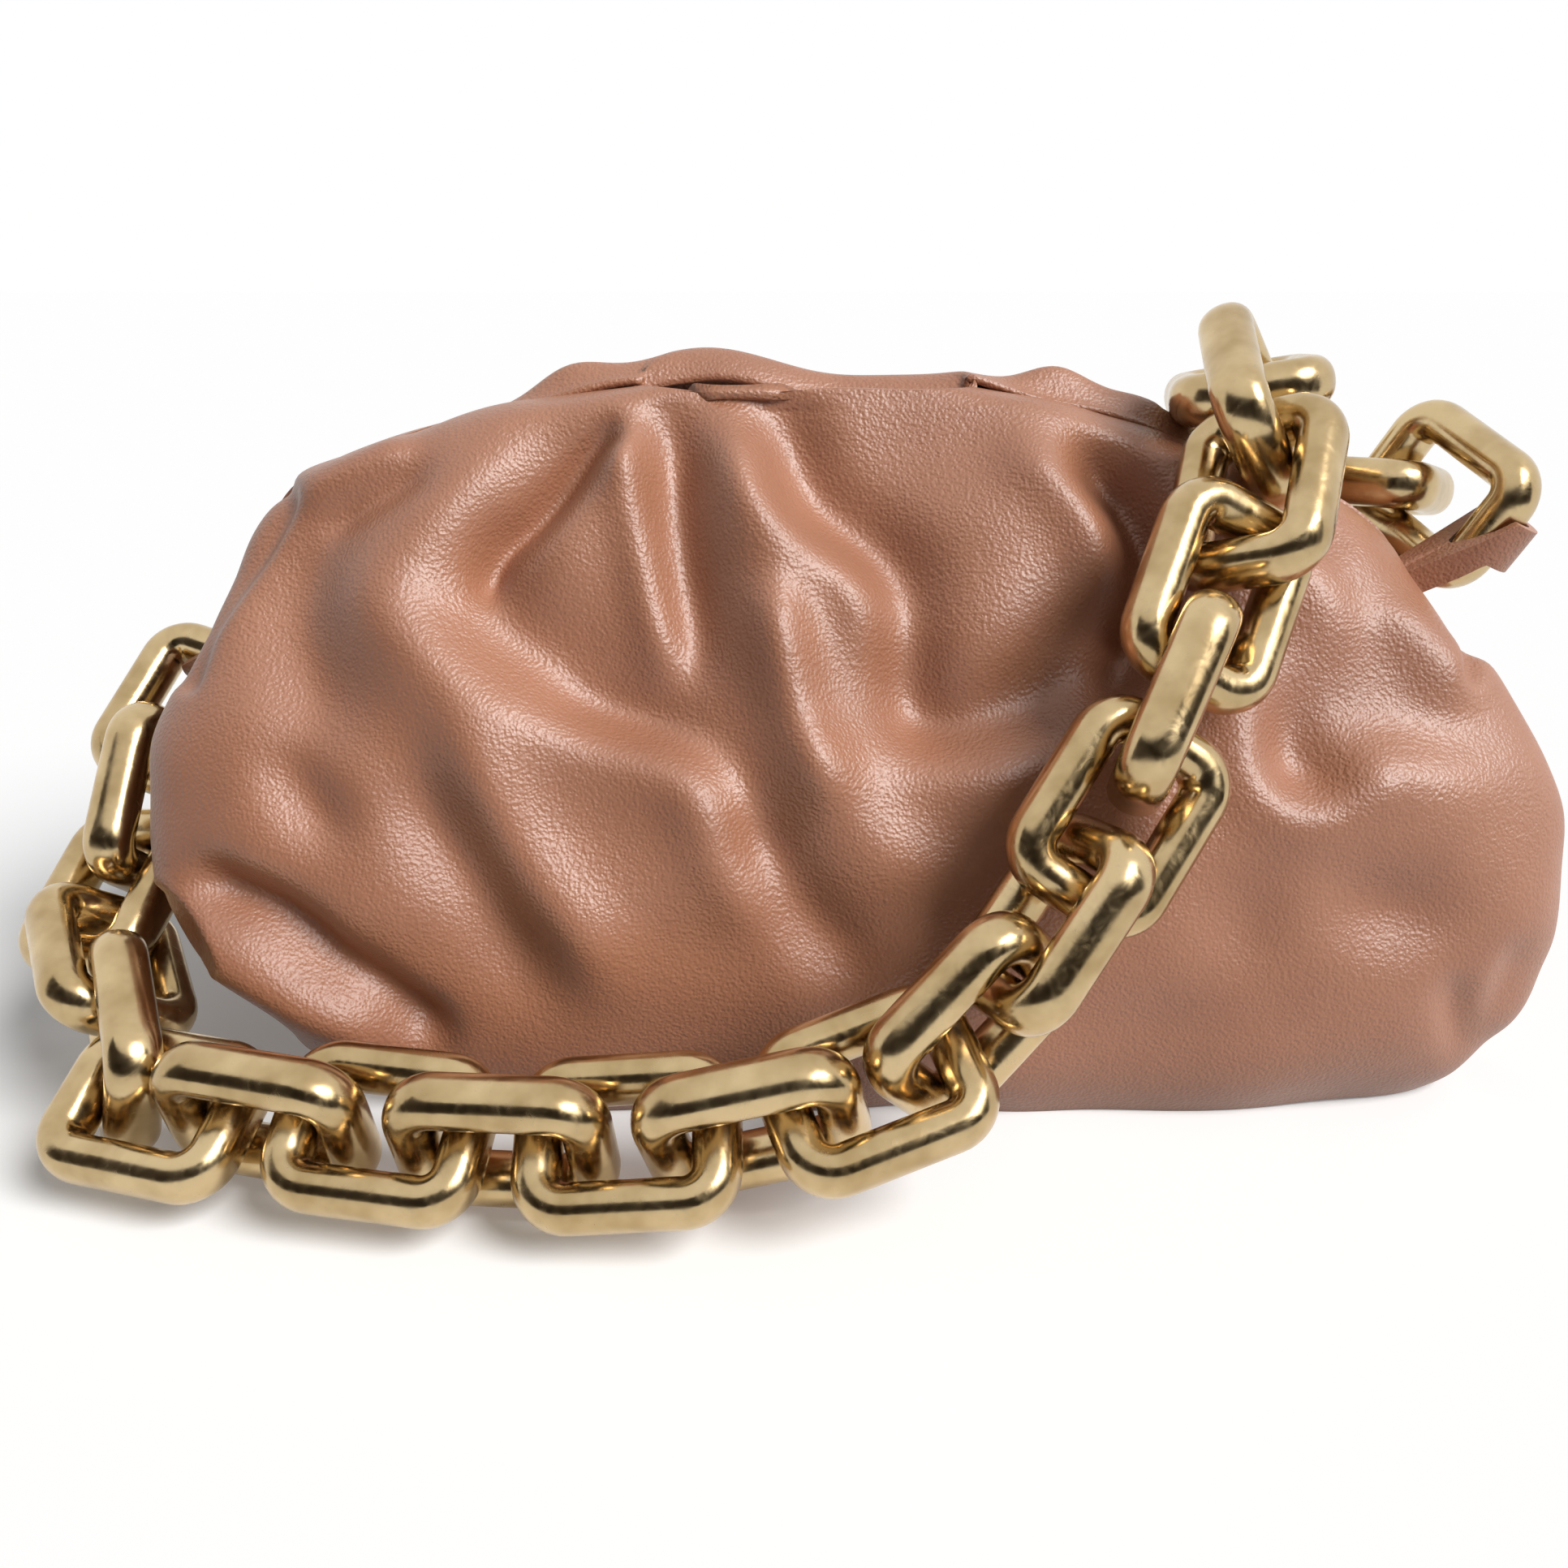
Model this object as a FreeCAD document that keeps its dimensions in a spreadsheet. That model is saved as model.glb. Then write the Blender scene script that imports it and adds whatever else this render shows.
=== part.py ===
import FreeCAD, Part
import math
import os
import Sketcher
from FreeCAD import Placement, Rotation, Vector

os.makedirs("parts", exist_ok=True)
doc = FreeCAD.newDocument("chain_shoulder_bag")

# Driving dimensions in millimetres, angles in degrees. X runs along the mouth, +Y is the
# rear, +Z is up, and the origin is the middle of the base on the ground.
SIZES = {
    "bag_width": 318,
    "bag_depth": 110,
    "bag_height": 144,
    "leather_thickness": 2,
    "lining_thickness": 0.8,
    "lining_gap": 0.2,
    "side_tuck": 38,
    "rear_fold_height": 88,
    "fold_gap": 0.4,
    "frame_span": 228,
    "frame_rise": 40,
    "frame_hinge_height": 96,
    "frame_strip_height": 8,
    "frame_strip_thickness": 4.6,
    "frame_gap": 0.8,
    "frame_seat_gap": 0.3,
    "eye_radius": 5,
    "eye_thickness": 3.6,
    "eye_gap": 0.4,
    "pin_radius": 2,
    "pin_running_gap": 0.08,
    "pin_head_radius": 3.4,
    "pin_head_thickness": 1.2,
    "magnet_radius": 3,
    "magnet_thickness": 2,
    "magnet_spacing": 90,
    "link_length": 41.4,
    "link_width": 32.6,
    "link_bar_width": 9,
    "link_bar_thickness": 10.6,
    "link_corner_radius": 6,
    "link_pitch": 22.4,
    "link_gap": 0.6,
    "link_rest_gap": 0.9,
    "tab_width": 12,
    "tab_thickness": 2.2,
    "tab_bar_gap": 0.4,
    "line_step": 2,
    "overrun": 20,
}

sheet = doc.addObject("Spreadsheet::Sheet", "sizes")
for row, (alias, value) in enumerate(SIZES.items(), start=1):
    sheet.set(f"A{row}", alias)
    sheet.set(f"B{row}", str(value))
    sheet.setAlias(f"B{row}", alias)
doc.recompute()


def size(alias):
    return float(sheet.get(alias))


def bind(item, **expressions):
    for name, expression in expressions.items():
        item.setExpression(name, expression)


def primitive(kind, label, **expressions):
    item = doc.addObject(kind, label)
    bind(item, **expressions)
    return item


def boolean(kind, label, base, tool):
    item = doc.addObject(kind, label)
    item.Base = base
    item.Tool = tool
    return item


def solid_feature(label, shape):
    item = doc.addObject("Part::Feature", label)
    item.Shape = shape
    return item


nodes = []


def node(item, label):
    item.Label = label
    nodes.append(item)
    return item


# Pouch outline, level by level, as shares of the bag's height, width and depth: the height,
# the half width to the left and to the right, the half depth, and the share of the side tuck.
LEVEL_SHARES = (
    (0.00, 0.345, 0.445, 0.425, 0.30),
    (0.03, 0.365, 0.468, 0.455, 0.45),
    (0.07, 0.390, 0.482, 0.475, 0.70),
    (0.14, 0.430, 0.495, 0.495, 0.95),
    (0.22, 0.465, 0.500, 0.500, 1.00),
    (0.32, 0.478, 0.500, 0.495, 1.00),
    (0.42, 0.476, 0.494, 0.465, 1.00),
    (0.52, 0.468, 0.476, 0.415, 1.00),
    (0.61, 0.440, 0.446, 0.350, 0.80),
    (0.66, 0.424, 0.420, 0.310, 0.48),
    (0.71, 0.410, 0.400, 0.270, 0.20),
    (0.78, 0.390, 0.370, 0.215, 0.00),
    (0.86, 0.360, 0.305, 0.150, 0.00),
    (0.92, 0.285, 0.225, 0.110, 0.00),
    (0.97, 0.210, 0.150, 0.085, 0.00),
    (1.00, 0.126, 0.085, 0.070, 0.00),
)
OUTLINE_POINTS = 28
SIDE_POWER = 8.0
FACE_POWER = 2.3
# The valley at each end of the pouch, in shares of the half depth: its middle at the ground,
# how far the middle moves to the rear over the bag's height, and its reach.
LEFT_TUCK_SHARES = (-0.45, 1.2, 0.48)
RIGHT_TUCK_SHARES = (0.0, 0.0, 0.36)


def tuck_at(level, across, along):
    base_share, rise_share, reach_share = RIGHT_TUCK_SHARES if along > 0 else LEFT_TUCK_SHARES
    middle_share = base_share + rise_share * level[0]
    depth = math.exp(-(((across - middle_share) / reach_share) ** 2))
    return level[4] * size("side_tuck") * depth * abs(along) ** SIDE_POWER


def level_outline(level, inset):
    half_depth = level[3] * size("bag_depth") - inset
    points = []
    for step in range(OUTLINE_POINTS):
        turn = 2 * math.pi * step / OUTLINE_POINTS
        along = math.copysign(abs(math.cos(turn)) ** (2 / SIDE_POWER), math.cos(turn))
        across = math.copysign(abs(math.sin(turn)) ** (2 / FACE_POWER), math.sin(turn))
        width_share = level[2] if along > 0 else level[1]
        x = along * (width_share * size("bag_width") - inset)
        x -= math.copysign(tuck_at(level, across, along), along)
        points.append(Vector(x, across * half_depth, level[0] * size("bag_height")))
    curve = Part.BSplineCurve()
    curve.interpolate(points, PeriodicFlag=True)
    return Part.Wire(curve.toShape())


def pouch(inset):
    return Part.makeLoft([level_outline(level, inset) for level in LEVEL_SHARES], True, True)


def block(x, y, z):
    return Part.makeBox(x[1] - x[0], y[1] - y[0], z[1] - z[0], Vector(x[0], y[0], z[0]))


# Purse frame: a bowed strip in two halves that close on each other at the middle plane.
FRAME_RADIUS = "(sizes.frame_span^2 / (8 * sizes.frame_rise) + sizes.frame_rise / 2)"
FRAME_CENTRE = f"(sizes.frame_hinge_height + sizes.frame_rise - {FRAME_RADIUS})"
FRAME_ANGLE = f"2 * asin(sizes.frame_span / (2 * {FRAME_RADIUS}))"


def frame_radius():
    return size("frame_span") ** 2 / (8 * size("frame_rise")) + size("frame_rise") / 2


def mouth_half_depth():
    return size("frame_gap") / 2 + size("frame_strip_thickness") + size("frame_seat_gap")


def mouth_slot():
    # Everything above the lower edge of the frame, as deep as both halves.
    radius = frame_radius() - size("frame_strip_height") / 2 - size("frame_seat_gap")
    centre = size("frame_hinge_height") + size("frame_rise") - frame_radius()
    half = mouth_half_depth()
    reach = size("frame_span") / 2 + 2 * size("eye_radius")
    top = size("bag_height") + size("overrun")
    slab = block((-reach, reach), (-half, half), (size("frame_hinge_height") - size("eye_radius"), top))
    under = Part.makeCylinder(radius, 2 * half, Vector(0, -half, centre), Vector(0, 1, 0))
    room = slab.cut(under)
    end = size("frame_span") / 2
    inner = end - 2 * size("eye_thickness") - size("eye_gap") - size("frame_seat_gap")
    for side in (-1, 1):
        spot = Vector(side * inner, 0, size("frame_hinge_height"))
        hole = Part.makeCylinder(half, end - inner + size("overrun"), spot, Vector(side, 0, 0))
        room = room.fuse(hole)
    return room


# Leather pouch: base, front panel, lower rear panel and the rear fold that opens.
far = size("bag_width")
top = size("bag_height") + size("overrun")
skin = size("leather_thickness")
outer = pouch(0.0)
floor_cut = block((-far, far), (-far, far), (-size("overrun"), skin))
hollow = pouch(skin).cut(floor_cut)
shell = outer.cut(hollow).cut(mouth_slot())
wall = shell.cut(floor_cut)
fold = size("rear_fold_height")
gap = size("fold_gap") / 2

front_room = block((-far, far), (-far, 0), (0, top))
rear_room = block((-far, far), (0, far), (0, fold - gap))
fold_room = block((-far, far), (gap, far), (fold + gap, top))
node(solid_feature("base_solid", outer.common(floor_cut)), "leather_base")
node(solid_feature("front_solid", wall.common(front_room)), "leather_front")
node(solid_feature("rear_solid", wall.common(rear_room)), "leather_rear")
node(solid_feature("fold_solid", wall.common(fold_room)), "leather_rear_fold")

# Lining: a thin bag inside the leather, up to the frame.
lining_outer = skin + size("lining_gap")
lining_inner = lining_outer + size("lining_thickness")
bag_room = block((-far, far), (-far, far), (lining_outer, fold - gap))
lining_floor = block((-far, far), (-far, far), (-size("overrun"), lining_inner))
lining_shell = pouch(lining_outer).common(bag_room).cut(pouch(lining_inner).cut(lining_floor))
node(solid_feature("lining_solid", lining_shell), "lining")


def frame_half(label, side, leg_shift, other_shift):
    # side is -1 for the front half and 1 for the rear half. The shifts say how far in from the
    # frame's ends the eyes of this half and of the other half sit.
    strip = "sizes.frame_strip_thickness"
    back = "sizes.frame_gap / 2" if side > 0 else f"-sizes.frame_gap / 2 - {strip}"
    ring = primitive(
        "Part::Cylinder", f"{label}_ring", Height=strip, Angle=FRAME_ANGLE,
        Radius=f"{FRAME_RADIUS} + sizes.frame_strip_height / 2",
    )
    core = primitive(
        "Part::Cylinder", f"{label}_core", Height=f"{strip} + 2 * sizes.overrun",
        Radius=f"{FRAME_RADIUS} - sizes.frame_strip_height / 2",
    )
    half_angle = math.degrees(math.asin(size("frame_span") / (2 * frame_radius())))
    upright = Rotation(Vector(1, 0, 0), 90)
    ring.Placement.Rotation = Rotation(Vector(0, 1, 0), half_angle - 90).multiply(upright)
    core.Placement.Rotation = upright
    for item, start in ((ring, f"{back} + {strip}"), (core, f"{back} + {strip} + sizes.overrun")):
        bind(item, **{"Placement.Base.y": start, "Placement.Base.z": FRAME_CENTRE})
    bow = boolean("Part::Cut", f"{label}_bow", ring, core)
    eyes = []
    for hand, name in ((-1, "left"), (1, "right")):
        eye = primitive(
            "Part::Cylinder", f"{label}_{name}_eye",
            Radius="sizes.eye_radius", Height="sizes.eye_thickness",
        )
        eye.Placement.Rotation = Rotation(Vector(0, 1, 0), 90)
        edge = f"sizes.frame_span / 2 - {leg_shift}"
        start = f"{edge} - sizes.eye_thickness" if hand > 0 else f"-({edge})"
        bind(eye, **{"Placement.Base.x": start, "Placement.Base.z": "sizes.frame_hinge_height"})
        eyes.append(eye)
    trimmed = bow
    for hand, name in ((-1, "left"), (1, "right")):
        # The strip ends flush with its own eye, clear of the other half's eye.
        trim = primitive(
            "Part::Box", f"{label}_{name}_trim", Length="sizes.overrun",
            Width="4 * sizes.eye_radius", Height="4 * sizes.eye_radius",
        )
        edge = f"sizes.frame_span / 2 - {leg_shift}"
        start = edge if hand > 0 else f"-({edge}) - sizes.overrun"
        bind(trim, **{
            "Placement.Base.x": start,
            "Placement.Base.y": "-2 * sizes.eye_radius",
            "Placement.Base.z": "sizes.frame_hinge_height - 2 * sizes.eye_radius",
        })
        trimmed = boolean("Part::Cut", f"{label}_{name}_end", trimmed, trim)
        relief = primitive(
            "Part::Cylinder", f"{label}_{name}_relief",
            Radius="sizes.eye_radius + sizes.eye_gap",
            Height="sizes.eye_thickness + 2 * sizes.eye_gap",
        )
        relief.Placement.Rotation = Rotation(Vector(0, 1, 0), 90)
        edge = f"sizes.frame_span / 2 - {other_shift}"
        start = f"{edge} - sizes.eye_thickness - sizes.eye_gap"
        if hand < 0:
            start = f"-({edge}) - sizes.eye_gap"
        bind(relief, **{"Placement.Base.x": start, "Placement.Base.z": "sizes.frame_hinge_height"})
        trimmed = boolean("Part::Cut", f"{label}_{name}_relieved", trimmed, relief)
    whole = doc.addObject("Part::MultiFuse", f"{label}_whole")
    whole.Shapes = [trimmed] + eyes
    bore = primitive("Part::Cylinder", f"{label}_bore", Height="2 * sizes.frame_span")
    play = "sizes.pin_running_gap" if side > 0 else "0"
    bind(bore, Radius=f"sizes.pin_radius + {play}")
    bore.Placement.Rotation = Rotation(Vector(0, 1, 0), 90)
    bind(bore, **{"Placement.Base.x": "-sizes.frame_span", "Placement.Base.z": "sizes.frame_hinge_height"})
    bored = boolean("Part::Cut", f"{label}_bored", whole, bore)
    for hand, name in ((-1, "left"), (1, "right")):
        seat = magnet(f"{label}_{name}_seat", side, hand)
        bored = boolean("Part::Cut", f"{label}_{name}_pocket", bored, seat)
    return node(bored, label)


def magnet(label, side, hand):
    # A disc let into the meeting face of one half of the frame.
    disc = primitive(
        "Part::Cylinder", label, Radius="sizes.magnet_radius", Height="sizes.magnet_thickness",
    )
    disc.Placement.Rotation = Rotation(Vector(1, 0, 0), -90)
    face = "sizes.frame_gap / 2"
    start = face if side > 0 else f"-{face} - sizes.magnet_thickness"
    drop = f"{FRAME_CENTRE} + sqrt({FRAME_RADIUS}^2 - sizes.magnet_spacing^2 / 4)"
    bind(disc, **{
        "Placement.Base.x": f"{hand} * sizes.magnet_spacing / 2",
        "Placement.Base.y": start,
        "Placement.Base.z": drop,
    })
    return disc


EYE_STEP = "(sizes.eye_thickness + sizes.eye_gap)"
frame_half("front_frame", -1, "0", EYE_STEP)
frame_half("rear_frame", 1, EYE_STEP, "0")
for label, side in (("front_magnets", -1), ("rear_magnets", 1)):
    pair = doc.addObject("Part::Compound", f"{label}_pair")
    pair.Links = [magnet(f"{label}_{name}", side, hand) for hand, name in ((-1, "left"), (1, "right"))]
    node(pair, label)

# Hinge pins: a headed pin through both eyes at each end of the frame.
PIN_LENGTH = "(2 * sizes.eye_thickness + sizes.eye_gap)"
for hand, name in ((-1, "left"), (1, "right")):
    shank = primitive("Part::Cylinder", f"{name}_shank", Radius="sizes.pin_radius", Height=PIN_LENGTH)
    head = primitive(
        "Part::Cylinder", f"{name}_head", Radius="sizes.pin_head_radius",
        Height="sizes.pin_head_thickness",
    )
    for item, near, length in (
        (shank, f"(sizes.frame_span / 2 - {PIN_LENGTH})", PIN_LENGTH),
        (head, "sizes.frame_span / 2", "sizes.pin_head_thickness"),
    ):
        item.Placement.Rotation = Rotation(Vector(0, 1, 0), 90)
        start = near if hand > 0 else f"-{near} - {length}"
        bind(item, **{"Placement.Base.x": start, "Placement.Base.z": "sizes.frame_hinge_height"})
    node(boolean("Part::Fuse", f"{name}_pin", shank, head), f"{name}_hinge_pin")


# Chain link: an oval bar swept round a rounded rectangle, lying in the XY plane.
def origin_plane(body, role):
    return next(item for item in body.Origin.OriginFeatures if item.Role == role)


def new_sketch(body, label, role):
    sketch = body.newObject("Sketcher::SketchObject", label)
    sketch.AttachmentSupport = [(origin_plane(body, role), "")]
    sketch.MapMode = "FlatFace"
    return sketch


def named_constraint(sketch, name, expression, *values):
    index = sketch.addConstraint(Sketcher.Constraint(*values))
    sketch.renameConstraint(index, name)
    sketch.setExpression(f"Constraints.{name}", expression)


def rounded_rectangle(sketch, half_run, half_rise, radius):
    x, y = half_run - radius, half_rise - radius
    corners = ((x, y, 0), (-x, y, 1), (-x, -y, 2), (x, -y, 3))
    quarter = math.pi / 2
    for cx, cy, turn in corners:
        circle = Part.Circle(Vector(cx, cy, 0), Vector(0, 0, 1), radius)
        sketch.addGeometry(Part.ArcOfCircle(circle, turn * quarter, (turn + 1) * quarter))
    ends = (
        (Vector(x, half_rise, 0), Vector(-x, half_rise, 0)),
        (Vector(-half_run, y, 0), Vector(-half_run, -y, 0)),
        (Vector(-x, -half_rise, 0), Vector(x, -half_rise, 0)),
        (Vector(half_run, -y, 0), Vector(half_run, y, 0)),
    )
    for start, end in ends:
        sketch.addGeometry(Part.LineSegment(start, end))
    for corner in range(4):
        line = 4 + corner
        sketch.addConstraint(Sketcher.Constraint("Tangent", corner, 2, line, 1))
        sketch.addConstraint(Sketcher.Constraint("Tangent", line, 2, (corner + 1) % 4, 1))
        direction = "Horizontal" if corner % 2 == 0 else "Vertical"
        sketch.addConstraint(Sketcher.Constraint(direction, line))
    for corner in (1, 2, 3):
        sketch.addConstraint(Sketcher.Constraint("Equal", 0, corner))
    sketch.addConstraint(Sketcher.Constraint("Symmetric", 0, 3, 2, 3, -1, 1))


link_form = doc.addObject("PartDesign::Body", "link_form")
path = new_sketch(link_form, "link_path", "XY_Plane")
half_run = (size("link_length") - size("link_bar_width")) / 2
half_rise = (size("link_width") - size("link_bar_width")) / 2
corner = size("link_corner_radius")
rounded_rectangle(path, half_run, half_rise, corner)
named_constraint(path, "corner", "sizes.link_corner_radius", "Radius", 0, corner)
run_expression = "sizes.link_length - sizes.link_bar_width"
named_constraint(path, "run", run_expression, "DistanceX", 5, 1, 7, 2, 2 * half_run)
rise_expression = "sizes.link_width - sizes.link_bar_width"
named_constraint(path, "rise", rise_expression, "DistanceY", 6, 1, 4, 2, 2 * half_rise)

section = new_sketch(link_form, "link_section", "YZ_Plane")
half_thick = size("link_bar_thickness") / 2
half_bar = size("link_bar_width") / 2
section.addGeometry(Part.Ellipse(
    Vector(half_rise, half_thick, 0), Vector(half_rise + half_bar, 0, 0), Vector(half_rise, 0, 0),
))
section.exposeInternalGeometry(0)
section.addConstraint(Sketcher.Constraint("Vertical", 1))
section.addConstraint(Sketcher.Constraint("PointOnObject", 0, 3, -1))
named_constraint(section, "offset", f"({rise_expression}) / 2", "DistanceX", -1, 1, 0, 3, half_rise)
named_constraint(section, "thickness", "sizes.link_bar_thickness", "Distance", 1, 2 * half_thick)
named_constraint(section, "width", "sizes.link_bar_width", "Distance", 2, 2 * half_bar)
bar = link_form.newObject("PartDesign::AdditivePipe", "link_bar")
bar.Profile = section
bar.Spine = (path, [f"Edge{number}" for number in range(1, 9)])
doc.recompute()

# Where the strap lies: places as shares of half the bag's width, half its depth and its height,
# with a stand-off from the leather or the ground in shares of the link's width.
MAIN_ROUTE_SHARES = (
    ((-0.815, 0.28, 0.54), (-0.40, 0.0, 0.0)),
    ((-0.855, 0.015, 0.435), (-0.45, 0.0, 0.0)),
    ((-0.865, -0.20, 0.31), (-0.45, -0.05, 0.0)),
    ((-0.90, -0.48, 0.12), (-0.40, -0.20, 0.45)),
    ((-0.845, -0.725, 0.08), (-0.30, -0.40, 0.45)),
    ((-0.815, -0.875, 0.013), (-0.20, -0.70, 0.45)),
    ((-0.74, -0.855, 0.017), (0.0, -0.90, 0.5)),
    ((-0.59, -0.93, 0.015), (0.0, -0.95, 0.5)),
    ((-0.447, -0.97, 0.012), (0.0, -1.0, 0.5)),
    ((-0.308, -0.985, 0.015), (0.0, -1.04, 0.5)),
    ((-0.17, -0.99, 0.03), (0.0, -1.06, 0.5)),
    ((-0.025, -0.995, 0.065), (0.0, -1.02, 0.5)),
    ((0.11, -0.987, 0.11), (0.0, -0.85, 0.5)),
    ((0.20, -0.985, 0.235), (0.0, -0.7, 0.45)),
    ((0.288, -0.89, 0.378), (0.0, -0.6, 0.4)),
    ((0.365, -0.755, 0.503), (0.0, -0.55, 0.4)),
    ((0.42, -0.613, 0.625), (0.0, -0.5, 0.4)),
    ((0.474, -0.425, 0.743), (0.0, -0.45, 0.4)),
    ((0.51, -0.175, 0.83), (0.0, -0.35, 0.4)),
    ((0.52, -0.007, 0.866), (0.0, -0.05, 0.5)),
    ((0.547, 0.30, 0.844), (0.0, 0.05, 0.55)),
)
RIGHT_ROUTE_SHARES = (
    ((0.78, 0.055, 0.75), (0.25, 0.0, 0.13)),
    ((0.765, 0.33, 0.76), (0.16, 0.03, 0.3)),
    ((0.68, 0.445, 0.725), (0.03, 0.2, 0.3)),
    ((0.615, 0.55, 0.83), (0.0, 0.3, 0.3)),
)
# By share of the way along the run: which way the flat-lying links face, and by how many
# degrees the links on edge lean over.
MAIN_FACINGS = (
    (0.0, (1.0, -0.1, -0.1), 0),
    (0.125, (0.95, -0.2, 0.1), 0),
    (0.175, (0.75, -0.35, 0.5), 0),
    (0.225, (0.34, -0.42, 0.84), 0),
    (0.275, (0.0, -0.6, 0.8), -8),
    (0.32, (0.0, -0.6, 0.8), -14),
    (0.50, (0.0, -0.6, 0.8), -14),
    (0.575, (0.0, -0.57, 0.82), 0),
    (0.675, (-0.76, -0.22, 0.61), 0),
    (0.775, (-0.89, 0.34, 0.29), 0),
    (0.875, (-0.6, -0.45, 0.7), 0),
    (1.0, (0.0, 0.3, 0.95), 0),
)
RIGHT_FACINGS = (
    (0.0, (0.5, 0.0, 0.8), 0),
    (0.5, (0.1, 0.16, 0.98), 0),
    (1.0, (0.1, 0.35, 0.93), 0),
)

# How the links settle: steps round a corner of the bar, the directions in which the pouch is
# felt for, and how far each round moves a link.
CORNER_STEPS = 4
EIGHTHS = [math.pi * step / 4 for step in range(8)]
FEELERS = [Vector(math.cos(turn), math.sin(turn), 0) for turn in EIGHTHS]
FEELERS += [Vector(math.cos(turn), math.sin(turn), -1).normalize() for turn in EIGHTHS[::2]]
FEELERS += [Vector(0, 0, -1)]
PUSH_STEPS = 12
PUSH_SHARE = 0.4
SETTLE_ROUNDS = 240
HOLD_ROUNDS = 120
HOLD_SHARE = 0.05
SETTLED_SHARE = 0.25
# How far the tail of a chain tab bends away from the link towards the frame's end.
TAIL_SHARE = 0.5
bar_reach = (size("link_length") - size("link_bar_width")) / 2


def route_points(places):
    spread = (size("bag_width") / 2, size("bag_depth") / 2, size("bag_height"))
    points = []
    for bag_shares, link_shares in places:
        values = [
            bag_share * length + link_share * size("link_width")
            for bag_share, length, link_share in zip(bag_shares, spread, link_shares)
        ]
        points.append(Vector(*values))
    return points


def facing_at(facings, share):
    for (low, first, first_lean), (high, second, second_lean) in zip(facings, facings[1:]):
        if share <= high:
            part = max(share - low, 0) / (high - low)
            facing = Vector(*first) * (1 - part) + Vector(*second) * part
            return facing, first_lean * (1 - part) + second_lean * part
    return Vector(*facings[-1][1]), facings[-1][2]


def link_places(places, facings):
    # Evenly spaced joints along a smooth route; the first link is on edge, the next lies flat.
    curve = Part.BSplineCurve()
    curve.interpolate(route_points(places))
    count = round(curve.length() / size("link_pitch"))
    joints = curve.discretize(Number=count + 1)
    found = []
    for index in range(count):
        along = (joints[index + 1] - joints[index]).normalize()
        facing, lean = facing_at(facings, (index + 0.5) / count)
        facing = (facing - along * facing.dot(along)).normalize()
        if index % 2 == 0:
            facing = Rotation(along, lean).multVec(along.cross(facing))
        middle = (joints[index] + joints[index + 1]) * 0.5
        found.append((middle, Rotation(along, facing.cross(along), facing, "XYZ")))
    return found


def bar_line():
    # Points along the middle of a link's bar, in the link's own plane.
    run = bar_reach - size("link_corner_radius")
    rise = (size("link_width") - size("link_bar_width")) / 2 - size("link_corner_radius")
    turns = [(run, rise), (-run, rise), (-run, -rise), (run, -rise)]
    points = []
    for quarter, (x, y) in enumerate(turns):
        for step in range(CORNER_STEPS + 1):
            angle = math.radians(90 * (quarter + step / CORNER_STEPS))
            radius = size("link_corner_radius")
            points.append(Vector(x + radius * math.cos(angle), y + radius * math.sin(angle), 0))
    filled = []
    for first, second in zip(points, points[1:] + points[:1]):
        steps = max(1, round((second - first).Length / size("line_step")))
        filled += [first + (second - first) * (step / steps) for step in range(steps)]
    return filled


def bar_radius(facing, direction):
    # Half the bar's section towards a neighbour: an ellipse thicker across the link's plane.
    lift = facing.dot(direction)
    flat = 2 * math.sqrt(max(1 - lift * lift, 0)) / size("link_bar_width")
    thick = 2 * lift / size("link_bar_thickness")
    return 1 / math.hypot(flat, thick)


def level_at(height):
    for low, high in zip(LEVEL_SHARES, LEVEL_SHARES[1:]):
        if height <= high[0] * size("bag_height"):
            part = max(height / size("bag_height") - low[0], 0) / (high[0] - low[0])
            return [first + (second - first) * part for first, second in zip(low, high)]
    return None


def inside_pouch(point):
    level = level_at(point.z)
    if level is None or point.z < 0:
        return False
    across = point.y / (level[3] * size("bag_depth"))
    if abs(across) >= 1:
        return False
    along = math.copysign((1 - abs(across) ** FACE_POWER) ** (1 / SIDE_POWER), point.x)
    half_width = (level[2] if along > 0 else level[1]) * size("bag_width")
    return abs(point.x) < abs(along) * half_width - tuck_at(level, across, along)


def push_from_pouch(point, margin):
    # The way out of the pouch, away from the directions in which it is nearer than the margin.
    if abs(point.y) > size("bag_depth") / 2 + margin or abs(point.x) > size("bag_width") / 2 + margin:
        return None
    hits = [way for way in FEELERS if inside_pouch(point + way * margin)]
    if not hits:
        return None
    way = Vector(0, 0, 1)
    for hit in hits:
        way -= hit
    way.normalize()
    for step in range(1, PUSH_STEPS + 1):
        push = way * (step * margin / PUSH_STEPS)
        if not any(inside_pouch(point + push + feeler * margin) for feeler in hits):
            break
    return push


def move_link(link, point, push):
    # A push at one point of the link shifts it and turns it about its middle.
    middle, turned = link
    arm = point - middle
    reach_squared = (size("link_length") ** 2 + size("link_width") ** 2) / 6
    lever = arm.cross(push)
    share = 1 / (1 + (lever.Length / push.Length) ** 2 / reach_squared)
    turn = lever * (share / reach_squared)
    shifted = middle + push * share
    if turn.Length > 0:
        turned = Rotation(turn, math.degrees(turn.Length)).multiply(turned)
    return shifted, turned


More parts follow.
